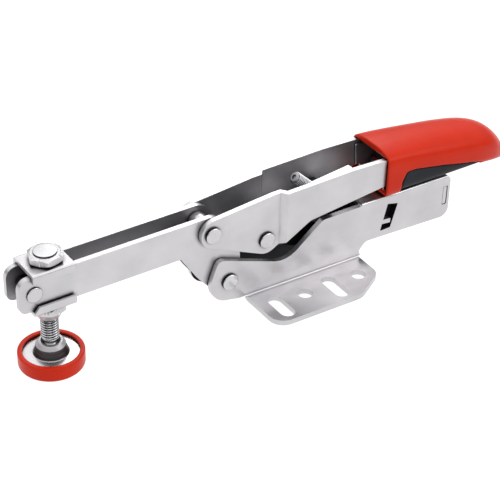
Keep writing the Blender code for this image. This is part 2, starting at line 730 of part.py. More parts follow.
def slider():
    """Fork that holds the link's rear pivot, with the rod that runs back through the end plate."""
    x, z = SLIDER_PIVOT
    body = along_y("slider", [outline(
        (x, z, 0, LINK_END_R), (SLIDER_REAR, z - SLIDER_HALF_Z, 1), (SLIDER_REAR, z + SLIDER_HALF_Z, 1),
    )], -SLIDER_OUT, SLIDER_OUT)
    slot = [(x - 20, -SLIDER_IN), (SLIDER_SLOT, -SLIDER_IN), (SLIDER_SLOT, SLIDER_IN), (x - 20, SLIDER_IN)]
    cut(body, along_z("slider_slot", [slot], z - 20, z + 20))
    cut(body, along_y("slider_hole", [circle(x, z, RIVET_R + PLAY)], -SLIDER_OUT - 5, SLIDER_OUT + 5))
    join(body, along_x("slider_rod", [circle(0, z, ROD_R)], SLIDER_REAR - 2, ROD_END))
    return body


def return_spring():
    """Coil spring round the rod, between the slider and the end plate, with closed ends."""
    stop = END_X - END_SHEET / 2 - WIRE_R - PLAY
    start = SPRING_START + WIRE_R
    count = SPRING_TURNS * SPRING_STEPS
    curve = bpy.data.curves.new("return_spring", "CURVE")
    curve.dimensions = "3D"
    curve.bevel_depth = WIRE_R * MM
    curve.bevel_resolution = 2
    curve.use_fill_caps = True
    spline = curve.splines.new("POLY")
    spline.points.add(count)
    closed = 2 * WIRE_R + SEAM
    for k, point in enumerate(spline.points):
        angle = 2 * math.pi * SPRING_TURNS * k / count
        turn = SPRING_TURNS * k / count
        free = (stop - start - 2 * closed) * (turn - 1) / (SPRING_TURNS - 2)
        x = start + closed * min(turn, 1) + min(max(free, 0), stop - start - 2 * closed)
        x += closed * max(turn - SPRING_TURNS + 1, 0)
        point.co = (x * MM, SPRING_R * math.cos(angle) * MM, SPRING_R * math.sin(angle) * MM, 1)
    matrix = upright(0, SLIDER_PIVOT[1])
    guide = bpy.data.objects.new("return_spring_guide", curve)
    guide.matrix_world = matrix
    bpy.context.scene.collection.objects.link(guide)
    mesh = bpy.data.meshes.new_from_object(guide.evaluated_get(bpy.context.evaluated_depsgraph_get()))
    bpy.data.objects.remove(guide)
    work = bmesh.new()
    work.from_mesh(mesh)
    bmesh.ops.remove_doubles(work, verts=work.verts, dist=0.000001)
    work.to_mesh(mesh)
    work.free()
    return finish("return_spring", mesh, matrix)


def screw_frame():
    """Frame of the adjusting screw, its z pointing up along the screw to its socket."""
    return upright(*SCREW_AXIS) @ Matrix.Rotation(math.radians(SCREW_ANGLE - 90), 4, "Y")


def adjusting_screw():
    """The socket set screw between the handle plates, and the cross block that it is threaded in."""
    frame = screw_frame()
    chamfer = 0.5
    screw = turned("adjusting_screw", [
        (0, SCREW_UP), (SCREW_R - chamfer, SCREW_UP), (SCREW_R, SCREW_UP - chamfer), (SCREW_R, chamfer - SCREW_DOWN),
        (SCREW_R - chamfer, -SCREW_DOWN), (0, -SCREW_DOWN)], frame)
    socket = turned("screw_socket", [
        (0, SCREW_UP + 1), (SOCKET_AF / 2, SCREW_UP + 1), (SOCKET_AF / 2, SCREW_UP - SOCKET_DEPTH),
        (0, SCREW_UP - SOCKET_DEPTH)], frame)
    cut(screw, socket)
    reach = HANDLE_IN + HANDLE_JOG - PLAY
    x = SCREW_AXIS[0]
    block = along_y("screw_block", [outline(
        (x - BLOCK_HALF_X, BLOCK_LOW, 1), (x + BLOCK_HALF_X, BLOCK_LOW, 1), (x + BLOCK_HALF_X, BLOCK_HIGH, 1),
        (x - BLOCK_HALF_X, BLOCK_HIGH, 1))], -reach, reach)
    r = SCREW_R + PLAY
    cut(block, turned("block_thread", [(0, 30), (r, 30), (r, -30), (0, -30)], frame))
    return screw, block


def between(stations, x):
    """Smooth values between stations: a Catmull-Rom curve through each column."""
    last = len(stations) - 1
    k = 0
    while k < last - 1 and x > stations[k + 1][0]:
        k += 1
    rows = [stations[max(k - 1, 0)], stations[k], stations[k + 1], stations[min(k + 2, last)]]
    span = rows[2][0] - rows[1][0]
    t = (x - rows[1][0]) / span
    values = []
    for column in range(1, len(rows[0])):
        before, low, high, after = (row[column] for row in rows)
        rise_low = (high - before) / (rows[2][0] - rows[0][0]) * span
        rise_high = (after - low) / (rows[3][0] - rows[1][0]) * span
        values.append(
            low * (2 * t ** 3 - 3 * t ** 2 + 1) + rise_low * (t ** 3 - 2 * t ** 2 + t)
            + high * (3 * t ** 2 - 2 * t ** 3) + rise_high * (t ** 3 - t ** 2))
    return values


def grip_form(name, floor_of):
    """Loft along the grip: an arch that gets rounder towards the tail, over a rounded underside."""
    mesh = bpy.data.meshes.new(name)
    work = bmesh.new()
    first = GRIP[0][0]
    last = GRIP[-1][0]
    rings = []
    for k in range(RINGS + 1):
        x = first + (last - first) * math.sin(math.pi / 2 * k / RINGS)
        half, crown, floor, arch, sag = between(GRIP, x)
        floor = floor_of(x, floor)
        middle = (crown + floor) / 2
        verts = []
        for step in range(RING_POINTS):
            angle = 2 * math.pi * step / RING_POINTS
            c, s = math.cos(angle), math.sin(angle)
            power = arch if s > 0 else FLOOR_POWER
            y = half * math.copysign(abs(c) ** (2 / power), c)
            rise = (crown - floor) / 2 - (sag * (y / half) ** 2 if s > 0 else 0)
            z = middle + rise * math.copysign(abs(s) ** (2 / power), s)
            verts.append(work.verts.new((x * MM, y * MM, z * MM)))
        rings.append(verts)
    for low, high in zip(rings, rings[1:]):
        for k in range(RING_POINTS):
            n = (k + 1) % RING_POINTS
            work.faces.new((low[k], low[n], high[n], high[k]))
    work.faces.new(list(reversed(rings[0])))
    work.faces.new(rings[-1])
    bmesh.ops.recalc_face_normals(work, faces=work.faces)
    work.to_mesh(mesh)
    work.free()
    return finish(name, mesh, Matrix())


def grip():
    """The red shell over the handle's plates, and the dark insert in its palm side."""
    upper, lower = tang(PLAY)
    skin = HANDLE_OUT + HANDLE_JOG + PLAY
    shell = grip_form("grip_shell", lambda x, floor: floor)
    edge = RED_EDGE
    red = outline(
        (MOUTH_X, 31.2, 4.6), (LOBE_REAR, 31.2, 1.2), (*edge[0], 2),
        (*edge[1], 2), (*edge[2], 3), edge[3], edge[4], (INSERT_END, edge[4][1] - 2.0), (INSERT_END, 10),
        (140, 10), (140, 70), (MOUTH_X, 70),
    )
    trim(shell, along_y("shell_side", [red], -20, 20))
    plate_low = HANDLE_LOW[2][1] - PLAY
    plate_top = HANDLE_TOP[0][1] + PLAY
    cavity = outline(
        (20, plate_low), (HANDLE_LOW[2][0], plate_low), lower[0], (LOBE_REAR + 0.6, edge[0][1] + 2.2),
        (LOBE_REAR + 0.6, 10), (INSERT_END - 1.0, 10), (INSERT_END - 1.0, TANG_END_TOP - PLAY), *reversed(upper),
        (HANDLE_TOP[0][0], plate_top), (20, plate_top),
    )
    cut(shell, along_y("shell_cavity", [cavity], -skin, skin))
    insert = grip_form("grip_insert", lambda x, floor: min(max(floor, INSERT_FLOOR), floor + 1.8))
    dark = outline(
        (LOBE_REAR + SEAM, 20), (INSERT_END - SEAM, 20), (INSERT_END - SEAM, edge[4][1] - 2.0 - SEAM),
        (edge[4][0], edge[4][1] - SEAM), (edge[3][0], edge[3][1] - SEAM), (edge[2][0], edge[2][1] - SEAM, 3),
        (edge[1][0] + SEAM, edge[1][1] - SEAM, 2), (LOBE_REAR + SEAM, edge[0][1], 2),
    )
    trim(insert, along_y("insert_side", [dark], -20, 20))
    below = [(x, z + 1.3 - PLAY - 0.1) for x, z in edge[1:]]
    filling = outline(
        (LOBE_REAR + 1.2, 36.0), (edge[4][0] + 3.0, 35.0), (edge[4][0] + 3.0, below[-1][1] - 0.8), *reversed(below[1:]),
        (LOBE_REAR + 3.2, below[0][1]), (LOBE_REAR + 1.2, below[0][1] - 2.5),
    )
    join(insert, along_y("insert_filling", [filling], -skin + PLAY, skin - PLAY))
    core_half = HANDLE_IN + HANDLE_JOG - PLAY
    ridge = [(x, z - CORE_DROP) for x, z in TANG_TOP]
    core = outline(
        (LOBE_REAR + 1.2, 38.0), (edge[4][0], 35.5), (edge[4][0], TANG_END_TOP - CORE_DROP + 0.8), ridge[2],
        (CORE_FRONT, ridge[1][1] - 0.6, 1), (CORE_FRONT, CORE_FLOOR), (LOBE_REAR + 1.2, CORE_FLOOR),
    )
    join(insert, along_y("insert_core", [core], -core_half, core_half))
    return shell, insert


def assemble():
    """Build every piece, dress it and hang it on the joint that carries it."""
    tidy_scene()
    arm_axis = axis_empty("arm_axis", ARM_FRAME)
    carrier_axis = axis_empty("carrier_slide", spindle_frame(), arm_axis)
    spindle_axis = axis_empty("spindle_slide", spindle_frame(), carrier_axis)
    ball = spindle_frame() @ Matrix.Translation((0, 0, BALL_W * MM))
    pad_axis = axis_empty("pad_axis", ball, spindle_axis)
    handle_axis = axis_empty("handle_axis", upright(*HANDLE_PIVOT), arm_axis)
    link_axis = axis_empty("link_axis", upright(*LINK_PIVOT), handle_axis)
    slider_axis = axis_empty("slider_slide", upright(*SLIDER_PIVOT))
    screw_axis = axis_empty("screw_slide", screw_frame(), handle_axis)

    body = base_body()
    plate = end_plate()
    arm_near, arm_far = arm_plates()
    pins = rivets_and_bushes()
    upper, lower = saddles()
    top, lock = nuts()
    rod = spindle()
    pad_plate, cap = pad()
    handle_near, handle_far = handle_plates()
    link, washer_near, washer_far, link_rivet, pin = link_and_rivets()
    fork = slider()
    spring = return_spring()
    screw, block = adjusting_screw()
    shell, insert = grip()

    dress([body, plate, arm_near, arm_far, upper, lower, top, lock, handle_near, handle_far], *ZINC)
    dress([*pins.values(), rod, pad_plate, link, washer_near, washer_far, link_rivet, pin, fork, spring,
           screw, block], *STEEL)
    dress([cap, shell], *RED)
    dress([insert], *DARK)

    carried = {
        arm_axis: [arm_near, arm_far, pins["base_bush"], pins["handle_rivet"], pins["handle_bush"],
                   pins["tip_rivet"], pins["tip_bush"]],
        carrier_axis: [upper, lower, top, lock],
        spindle_axis: [rod],
        pad_axis: [pad_plate, cap],
        handle_axis: [handle_near, handle_far, washer_near, washer_far, link_rivet, block, shell, insert],
        link_axis: [link, pin],
        slider_axis: [fork],
        screw_axis: [screw],
    }
    for axis, items in carried.items():
        for item in items:
            ride(item, axis)


assemble()
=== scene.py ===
"""Dressed model of the horizontal toggle clamp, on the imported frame."""
import json
import math

import bmesh
import bpy
from mathutils import Matrix, Vector

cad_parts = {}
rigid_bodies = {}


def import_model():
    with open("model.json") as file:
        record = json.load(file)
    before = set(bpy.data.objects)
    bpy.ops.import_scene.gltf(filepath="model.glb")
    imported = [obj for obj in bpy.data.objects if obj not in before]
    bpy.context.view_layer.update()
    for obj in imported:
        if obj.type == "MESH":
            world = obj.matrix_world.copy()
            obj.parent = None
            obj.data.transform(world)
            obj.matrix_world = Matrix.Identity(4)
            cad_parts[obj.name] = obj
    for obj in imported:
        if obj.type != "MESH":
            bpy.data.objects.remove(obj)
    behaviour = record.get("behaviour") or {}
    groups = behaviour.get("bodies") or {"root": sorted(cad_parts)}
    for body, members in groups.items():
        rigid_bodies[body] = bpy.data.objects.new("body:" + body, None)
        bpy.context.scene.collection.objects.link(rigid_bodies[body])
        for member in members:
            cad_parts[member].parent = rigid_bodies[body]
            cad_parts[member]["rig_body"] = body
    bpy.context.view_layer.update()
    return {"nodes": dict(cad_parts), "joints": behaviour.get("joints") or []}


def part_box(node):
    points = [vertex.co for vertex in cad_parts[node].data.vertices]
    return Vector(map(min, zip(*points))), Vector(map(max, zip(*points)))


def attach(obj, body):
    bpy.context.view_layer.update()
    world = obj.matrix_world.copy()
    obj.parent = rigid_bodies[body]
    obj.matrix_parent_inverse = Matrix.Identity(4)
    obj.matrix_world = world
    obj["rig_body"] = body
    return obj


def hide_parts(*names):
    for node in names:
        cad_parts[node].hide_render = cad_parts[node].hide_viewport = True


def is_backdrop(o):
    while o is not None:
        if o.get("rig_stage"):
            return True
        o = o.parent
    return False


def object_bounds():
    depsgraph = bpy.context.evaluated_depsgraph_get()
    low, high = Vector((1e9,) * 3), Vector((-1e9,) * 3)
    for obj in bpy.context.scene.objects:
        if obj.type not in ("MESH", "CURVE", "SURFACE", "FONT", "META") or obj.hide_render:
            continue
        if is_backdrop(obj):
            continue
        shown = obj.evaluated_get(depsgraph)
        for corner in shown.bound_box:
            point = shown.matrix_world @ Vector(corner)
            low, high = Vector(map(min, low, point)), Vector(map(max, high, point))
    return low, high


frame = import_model()
nodes = frame["nodes"]
joints = {joint["name"]: joint for joint in frame["joints"]}

MM = 0.001

# Camera: place and focal length in millimetres, turn, tilt and roll in degrees
CAMERA_AT = (-382.2, -527.0, 443.0)
CAMERA_TURN = -34.26
CAMERA_TILT = 33.63
CAMERA_ROLL = 1.93
FOCAL = 123.3

# Light: the sky's strength and its greys by height, the lit table's glow, its reach and the gap
# above it in metres, and the softboxes' watts
SKY = 1.5
SKY_GREYS = (
    (0.0, (0.2, 0.2, 0.205)),
    (0.25, (0.35, 0.35, 0.355)),
    (0.48, (0.87, 0.87, 0.87)),
    (0.75, (0.95, 0.95, 0.95)),
)
TABLE = 0.98
TABLE_REACH = 3.0
TABLE_GAP = 0.0002
OVERHEAD = 1.35
FRONT_RIGHT = 1.5
REAR_RIGHT = 1.0

# Widths, in millimetres, of the rounded edges of plates, small plates, nuts, tray, linings and wall
EDGE = 0.28
FINE_EDGE = 0.16
NUT_EDGE = 0.14
ADDED_EDGE = 0.15
LINING_EDGE = 0.2
SHADE_WALL_EDGE = 0.1

# Steps round a turned piece and round a threaded one, and rows of points along one turn of a thread
ROUND = 72
THREAD_ROUND = 60
THREAD_ROWS = 8

# Rivets: their heads' heights, and how far a head spreads beyond its plain size
RIVET_HEAD = 1.25
TIP_HEAD = 0.6
HEAD_GROWTH = 1.07

# Bushes, washers and the link's pin: bores, and the radius of their broken edges
BUSH_BORE = 2.7
TIP_BORE = 2.2
BREAK = 0.3

# Lower saddle: half its inside width, and how much wider it shows beside the arm
SADDLE_IN = 7.25
SADDLE_GAP = 0.6

# Box, in metres, round the window in the base's webs
WINDOW = (Vector((0.042, 0, 0.012)), Vector((0.0525, 0, 0.0269)))

# Spindle: radius, thread and ends, its neck and its ball, in millimetres along its own axis
SPINDLE_R = 3.95
SPINDLE_PITCH = 1.25
SPINDLE_DEPTH = 0.72
SPINDLE_LOW = -3.4
SPINDLE_HIGH = 40.75
NECK_R = 2.3
BALL_R = 3.6
BALL_W = -7.6

# Nuts on the spindle: width across flats, chamfers, bore, turn in degrees, and lower and upper
# ends. The lock nut's cone: the height of its foot, and its radius at the top and at the foot
NUT_AF = 13.8
NUT_FACE = 0.7
NUT_DROP = 1.2
NUT_BORE = 4.25
NUT_TURN = 12
TOP_NUT = (36.9, 40.55)
LOCK_NUT = (11.8, 16.0)
CONE = (8.7, 6.4, 5.0)

# Pad: play round the ball, and the radius of the mouth that is crimped over it
BALL_PLAY = 0.35
PAD_MOUTH = 3.2

# Adjusting screw: middle in metres, then radius, thread and ends in millimetres along its own axis
SCREW_AT = (0.0137, 0, 0.0365)
SCREW_R = 2.9
SCREW_PITCH = 1.0
SCREW_DEPTH = 0.62
SCREW_LOW = -9.0
SCREW_HIGH = 20.2

# Return spring: radii of its wire and coil, the gap between closed turns, turns, and steps a turn
WIRE_R = 0.6
SPRING_R = 4.7
SPRING_SEAM = 0.25
SPRING_TURNS = 8
SPRING_STEPS = 28

# Grip: (x, half width, crown, floor, arch power, sag) at each station, in millimetres, then the
# floor's power, and the rows and points of its loft
GRIP = (
    (38.0, 14.4, 55.75, 31.3, 6.2, 1.6),
    (48.0, 14.4, 55.5, 31.3, 5.4, 1.7),
    (59.0, 14.35, 54.9, 31.4, 4.3, 1.9),
    (70.0, 14.3, 54.1, 31.6, 3.5, 2.1),
    (84.0, 14.1, 52.7, 32.2, 2.9, 2.2),
    (98.0, 13.4, 50.3, 32.2, 2.45, 2.2),
    (107.0, 11.8, 46.6, 30.9, 2.3, 2.0),
    (113.5, 9.0, 41.0, 29.3, 2.2, 1.5),
    (117.2, 6.2, 35.4, 28.0, 2.2, 0.9),
    (119.0, 3.8, 31.4, 28.0, 2.2, 0.3),
)
FLOOR_POWER = 5.0
GRIP_ROWS = 90
GRIP_ROUND = 144

# Grip: its mouth, the rear of its lobe and of the insert, and half widths of the shapes that cut
# its outside and its hollow, and of the insert's filling and core
MOUTH_X = 41.2
LOBE_REAR = 49.9
INSERT_END = 98.5
CUT_HALF = 20
HOLLOW_HALF = 12.85
FILLING_HALF = 12.55
CORE_HALF = 9.75

# Grip: the seam round the insert, and side outlines of the red skirt and the hollow's roof
SEAM = 0.25
RED_SIDE = ((49.6, 38.7, 2), (52.0, 43.9, 2), (57.2, 43.9, 3), (70.6, 41.5), (91.7, 36.8))
TANG_SIDE = ((95.8, 42.7, 2), (70.0, 48.1), (57.0, 50.4), (46.0, 51.9), (39.8, 52.65), (20, 52.65))

# Grip: how fine its skin is, and how often it is smoothed
VOXEL = 0.42
SMOOTHING = 5

# Inside the mouth: near and far face of a lining, and half the width of the dark wall that is painted shade.
# In the base: half widths of the black tray that is painted shade and of its channel, and how far its lug
# reaches
LINING_IN = 8.9
LINING_OUT = 9.7
SHADE_WALL_HALF = 8.8
TRAY_HALF = 6.3
CHANNEL_HALF = 5.6
LUG_OUT = 9.55


def link(item):
    """Put the item in the scene."""
    bpy.context.scene.collection.objects.link(item)
    return item


# Materials

def blank(name, metallic, roughness):
    """A new material, its node tree and its shader."""
    made = bpy.data.materials.new(name)
    made.use_nodes = True
    shader = made.node_tree.nodes["Principled BSDF"]
    shader.inputs["Metallic"].default_value = metallic
    shader.inputs["Roughness"].default_value = roughness
    return made, made.node_tree, shader


def noise(tree, scale, detail, stretch=(1, 1, 1)):
    """Noise over the object, with its scale per metre."""
    place = tree.nodes.new("ShaderNodeTexCoord")
    mapping = tree.nodes.new("ShaderNodeMapping")
    mapping.inputs["Scale"].default_value = stretch
    made = tree.nodes.new("ShaderNodeTexNoise")
    made.inputs["Scale"].default_value = scale
    made.inputs["Detail"].default_value = detail
    tree.links.new(place.outputs["Object"], mapping.inputs["Vector"])
    tree.links.new(mapping.outputs["Vector"], made.inputs["Vector"])
    return made.outputs["Fac"]


def spread(tree, value, low, high, start=0.3, end=0.7):
    """The value's middle part, mapped from low to high."""
    made = tree.nodes.new("ShaderNodeMapRange")
    made.inputs["From Min"].default_value = start
    made.inputs["From Max"].default_value = end
    made.inputs["To Min"].default_value = low
    made.inputs["To Max"].default_value = high
    tree.links.new(value, made.inputs["Value"])
    return made.outputs["Result"]


def blend(tree, value, stops):
    """Colours along the value."""
    made = tree.nodes.new("ShaderNodeValToRGB")
    marks = made.color_ramp.elements
    while len(marks) < len(stops):
        marks.new(0.5)
    for mark, (place, colour) in zip(marks, stops):
        mark.position = place
        mark.color = (*colour, 1.0)
    tree.links.new(value, made.inputs["Fac"])
    return made.outputs["Color"]


def relief(tree, shader, layers):
    """Bump from layers of (value, height in millimetres)."""
    normal = None
    for value, height in layers:
        bump = tree.nodes.new("ShaderNodeBump")
        bump.inputs["Strength"].default_value = 1.0
        bump.inputs["Distance"].default_value = height * MM
        tree.links.new(value, bump.inputs["Height"])
        if normal:
            tree.links.new(normal, bump.inputs["Normal"])
        normal = bump.outputs["Normal"]
    tree.links.new(normal, shader.inputs["Normal"])


def painted_corner_shade(tree, colour, reach, shade):
    """The colour with painted shade: darker by the shade factor in corners that are narrower than the reach
    in millimetres.
    """
    near = tree.nodes.new("ShaderNodeAmbientOcclusion")
    near.samples = 8
    near.inputs["Distance"].default_value = reach * MM
    open_part = spread(tree, near.outputs["AO"], 0.0, 1.0, 0.25, 0.9)
    mix = tree.nodes.new("ShaderNodeMix")
    mix.data_type = "RGBA"
    mix.blend_type = "MULTIPLY"
    mix.inputs["Factor"].default_value = 1.0
    tint = blend(tree, open_part, [(0.0, (shade, shade, shade)), (1.0, (1.0, 1.0, 1.0))])
    tree.links.new(colour, mix.inputs["A"])
    tree.links.new(tint, mix.inputs["B"])
    return mix.outputs["Result"]


def metal(name, dark, light, smooth, rough, rolling=(1, 1, 1), shade=0.35, reach=2.5):
    """Bare or plated steel: cloudy colour and gloss, painted shade in its corners, and a fine drawn grain.
    """
    made, tree, shader = blank(name, 1.0, (smooth + rough) / 2)
    colour = blend(tree, noise(tree, 55, 4.0), [(0.32, dark), (0.68, light)])
    tree.links.new(painted_corner_shade(tree, colour, reach, shade), shader.inputs["Base Color"])
    gloss = spread(tree, noise(tree, 300, 3.0, rolling), smooth, rough)
    tree.links.new(gloss, shader.inputs["Roughness"])
    relief(tree, shader, [(noise(tree, 180, 2.0, rolling), 0.006), (noise(tree, 2600, 2.0), 0.0012)])
    return made


def plastic(name, dark, light, smooth, rough, grain, gleam):
    """Moulded plastic: faint colour drift and an even spark-eroded grain."""
    made, tree, shader = blank(name, 0.0, (smooth + rough) / 2)
    colour = blend(tree, noise(tree, 70, 3.0), [(0.3, dark), (0.7, light)])
    tree.links.new(colour, shader.inputs["Base Color"])
    gloss = spread(tree, noise(tree, 900, 2.0), smooth, rough)
    tree.links.new(gloss, shader.inputs["Roughness"])
    relief(tree, shader, [(noise(tree, 2400, 2.0), grain), (noise(tree, 120, 2.0), 0.03)])
    shader.inputs["Specular IOR Level"].default_value = gleam
    return made


# How the drawn grain of rolled sheet is stretched along x, y and z
ROLLED = (0.3, 1, 1.6)
EVEN = (1, 1, 1)

# Zinc carries strong painted shade in its corners: painted contact shadow beside the plates and round the
# rivets.
ZINC = metal("zinc", (0.49, 0.482, 0.496), (0.57, 0.558, 0.57), 0.30, 0.40, ROLLED, 0.1, 2.5)
# Darker copies of zinc as painted shade: on the plates' inner faces, the linings, the screw's socket and the
# pad's ring. The base's copy is near black and the handle's is lighter.
ZINC_SHADED = metal("zinc_painted_shade", (0.26, 0.255, 0.27), (0.34, 0.332, 0.348), 0.42, 0.52, ROLLED, 0.3, 4.0)
ZINC_HALF_SHADED = metal("zinc_painted_half_shade", (0.36, 0.353, 0.37), (0.46, 0.45, 0.468), 0.4, 0.5, ROLLED, 0.5, 4.0)
ZINC_DEEP_SHADED = metal("zinc_painted_deep_shade", (0.014, 0.014, 0.015), (0.024, 0.024, 0.026), 0.45, 0.55, ROLLED, 0.3, 4.0)
STEEL = metal("steel", (0.50, 0.495, 0.51), (0.60, 0.59, 0.605), 0.2, 0.3)
# Near black steel: painted shade for parts deep in gaps and for the rivets' sides.
STEEL_SHADED = metal("steel_painted_shade", (0.035, 0.034, 0.037), (0.07, 0.069, 0.074), 0.3, 0.42, EVEN, 0.2, 6.0)
# Very dark steel: painted shade in thread roots and hollows, and a painted dark reflection on the pad's
# skirt.
STEEL_SHADE_AND_REFLECTION = metal("steel_painted_shade_and_reflection", (0.05, 0.048, 0.052), (0.10, 0.098, 0.105), 0.3, 0.4)
RED = plastic("red", (0.43, 0.013, 0.0005), (0.48, 0.017, 0.001), 0.29, 0.35, 0.003, 0.13)
DARK = plastic("dark", (0.014, 0.015, 0.018), (0.020, 0.021, 0.025), 0.42, 0.52, 0.005, 0.08)
# Black: painted shade for the tray in the base and for the window's cut faces.
BLACK_SHADE = plastic("black_painted_shade", (0.004, 0.004, 0.005), (0.007, 0.007, 0.008), 0.5, 0.6, 0.005, 0.1)


# Shapes

def shaded(name, mesh, angle=33):
    """An object of the mesh, smooth but for its sharp edges."""
    mesh.polygons.foreach_set("use_smooth", [True] * len(mesh.polygons))
    mesh.set_sharp_from_angle(angle=math.radians(angle))
    return link(bpy.data.objects.new(name, mesh))


def dress(piece, look, slot, *replaced):
    """Give the piece its material, and put it on the body of the nodes that it stands for."""
    piece.data.materials.clear()
    piece.data.materials.append(look)
    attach(piece, nodes[replaced[0]]["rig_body"])
    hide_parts(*replaced)


def added(piece, look, like):
    """A piece of the dressed model alone, on the body of the node that it is fixed to."""
    piece.data.materials.clear()
    piece.data.materials.append(look)
    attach(piece, nodes[like]["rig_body"])


def bevelled(piece, width, angle):
    """Round the edges that turn by more than the angle, by the width in millimetres."""
    bevel = piece.modifiers.new("edges", "BEVEL")
    bevel.limit_method = "ANGLE"
    bevel.angle_limit = math.radians(angle)
    bevel.width = width * MM
    bevel.segments = 2
    return bevel


def evened(piece, weight):
    """Keep the piece's large faces flat beside their rounded edges."""
    piece.modifiers.new("normals", "WEIGHTED_NORMAL").weight = weight


def softened(node, look, slot, width=EDGE):
    """The node's own shape, as flat and round faces with rounded edges between them."""
    mesh = nodes[node].data.copy()
    work = bmesh.new()
    work.from_mesh(mesh)
    bmesh.ops.remove_doubles(work, verts=work.verts, dist=0.002 * MM)
    bmesh.ops.dissolve_limit(work, angle_limit=math.radians(0.4), verts=work.verts, edges=work.edges)
    work.to_mesh(mesh)
    work.free()
    mesh.polygons.foreach_set("use_smooth", [True] * len(mesh.polygons))
    piece = link(bpy.data.objects.new(node + "_body", mesh))
    bevelled(piece, width, 32).miter_outer = "MITER_ARC"
    evened(piece, 90)
    dress(piece, look, slot, node)
    if look is ZINC:
        # Inner faces get a darker copy of zinc as painted shade.
        inside = ZINC_DEEP_SHADED if node == "base_body" else ZINC_HALF_SHADED if node.startswith("handle_plate") else ZINC_SHADED
        faced(piece, inside, lambda at, normal: normal.y * at.y < 0 and abs(normal.y) > 0.6)


def faced(piece, look, chosen):
    """Give a second look to the faces chosen by their middle and normal."""
    mesh = piece.data
    mesh.materials.append(look)
    last = len(mesh.materials) - 1
    for face in mesh.polygons:
        if chosen(face.center, face.normal):
            face.material_index = last


def rounded(profile):
    """A profile of (radius, height[, fillet]) with its fillets drawn."""
    points = []
    for k, node in enumerate(profile):
        here = Vector(node[:2])
        if len(node) < 3:
            points.append(here)
            continue
        before = (Vector(profile[k - 1][:2]) - here).normalized()
        after = (Vector(profile[(k + 1) % len(profile)][:2]) - here).normalized()
        half = before.angle(after) / 2
        run = node[2] / math.tan(half)
        middle = here + (before + after).normalized() * node[2] / math.sin(half)
        first = here + before * run - middle
        last = here + after * run - middle
        sweep = first.angle_signed(last)
        steps = max(3, math.ceil(abs(sweep) / math.radians(14)))
        for step in range(steps + 1):
            angle = -sweep * step / steps
            c, s = math.cos(angle), math.sin(angle)
            points.append(middle + Vector((first.x * c - first.y * s, first.x * s + first.y * c)))
    return points


def meshed(work, name, matrix=Matrix()):
    """A mesh of the faces, turned outwards and placed by the matrix."""
    bmesh.ops.recalc_face_normals(work, faces=work.faces)
    mesh = bpy.data.meshes.new(name)
    work.to_mesh(mesh)
    work.free()
    mesh.transform(matrix)
    return mesh


def lofted(work, rings):
    """Faces between rings of as many points, and over both ends."""
    for one, other in zip(rings, rings[1:]):
        for k in range(len(one)):
            n = (k + 1) % len(one)
            work.faces.new((one[k], one[n], other[n], other[k]))
    work.faces.new(list(reversed(rings[0])))
    work.faces.new(rings[-1])


def turned(name, profile, matrix, closed=False):
    """The profile, in millimetres, turned about the matrix's z."""
    work = bmesh.new()
    rings = []
    for r, h in rounded(profile):
        if r < 1e-6:
            rings.append([work.verts.new((0, 0, h * MM))])
            continue
        ring = []
        for k in range(ROUND):
            angle = 2 * math.pi * k / ROUND
            ring.append(work.verts.new((r * math.cos(angle) * MM, r * math.sin(angle) * MM, h * MM)))
        rings.append(ring)
    for one, other in zip(rings, rings[1:] + rings[:1] if closed else rings[1:]):
        for k in range(ROUND):
            n = (k + 1) % ROUND
            corners = [one[k % len(one)], one[n % len(one)], other[n % len(other)], other[k % len(other)]]
            corners = list(dict.fromkeys(corners))
            if len(corners) > 2:
                work.faces.new(corners)
    return shaded(name, meshed(work, name, matrix))


def across(x, y, z):
    """A frame at (x, y, z), in metres, whose own z runs along y."""
    return Matrix.Translation((x, y, z)) @ Matrix.Rotation(-math.pi / 2, 4, "X")


def centre_of(node):
    """The middle of the node's box in metres, and half its size in millimetres."""
    low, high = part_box(node)
    return (low + high) / 2, (high - low) / 2 / MM


def headed(node, head):
    """A rivet with two upset heads: a rounded rim and a face that falls slightly to its edge."""
    middle, half = centre_of(node)
    end = half.y
    radius = half.x * HEAD_GROWTH
    seat = end - head
    shank = radius * 0.66
    fall = min(0.42, head * 0.45)
    side = [(0, end), (radius * 0.6, end - 0.02), (radius * 0.92, end - fall * 0.3, 0.3),
            (radius, end - fall, fall * 0.5), (radius, seat, 0.06), (shank, seat)]
    mirrored = [(r, -y, *fillet) for r, y, *fillet in reversed(side)]
    piece = turned(node + "_body", side + mirrored, across(*middle))
    dress(piece, STEEL, "bright_steel", node)
    # The heads' sides and shanks are near black: painted shade of the gap round each head.
    faced(piece, STEEL_SHADED, lambda at, normal: abs(normal.y) < 0.3)


def bush(node, bore, look):
    """A plain ring along y with broken edges."""
    middle, half = centre_of(node)
    r, y = half.x, half.y
    side = [(r, y, BREAK), (r, -y, BREAK), (bore, -y, BREAK), (bore, y, BREAK)]
    dress(turned(node + "_body", side, across(*middle), closed=True), look, "bright_steel", node)


def threaded(radius, pitch, depth, low, high, chamfer):
    """Rings of points of a helical thread between two heights, chamfered at both ends."""
    rings = []
    count = round((high - low) / pitch * THREAD_ROWS)
    for row in range(count + 1):
        h = low + (high - low) * row / count
        ring = []
        for k in range(THREAD_ROUND):
            turn = k / THREAD_ROUND
            phase = (h / pitch - turn) % 1.0
            groove = min(1.0, max(0.0, 1.35 * (1 - abs(2 * phase - 1)) - 0.12))
            r = radius - depth * groove
            r = min(r, radius - chamfer + (h - low), radius - chamfer + (high - h))
            ring.append((r, turn, h))
        rings.append(ring)
    return rings


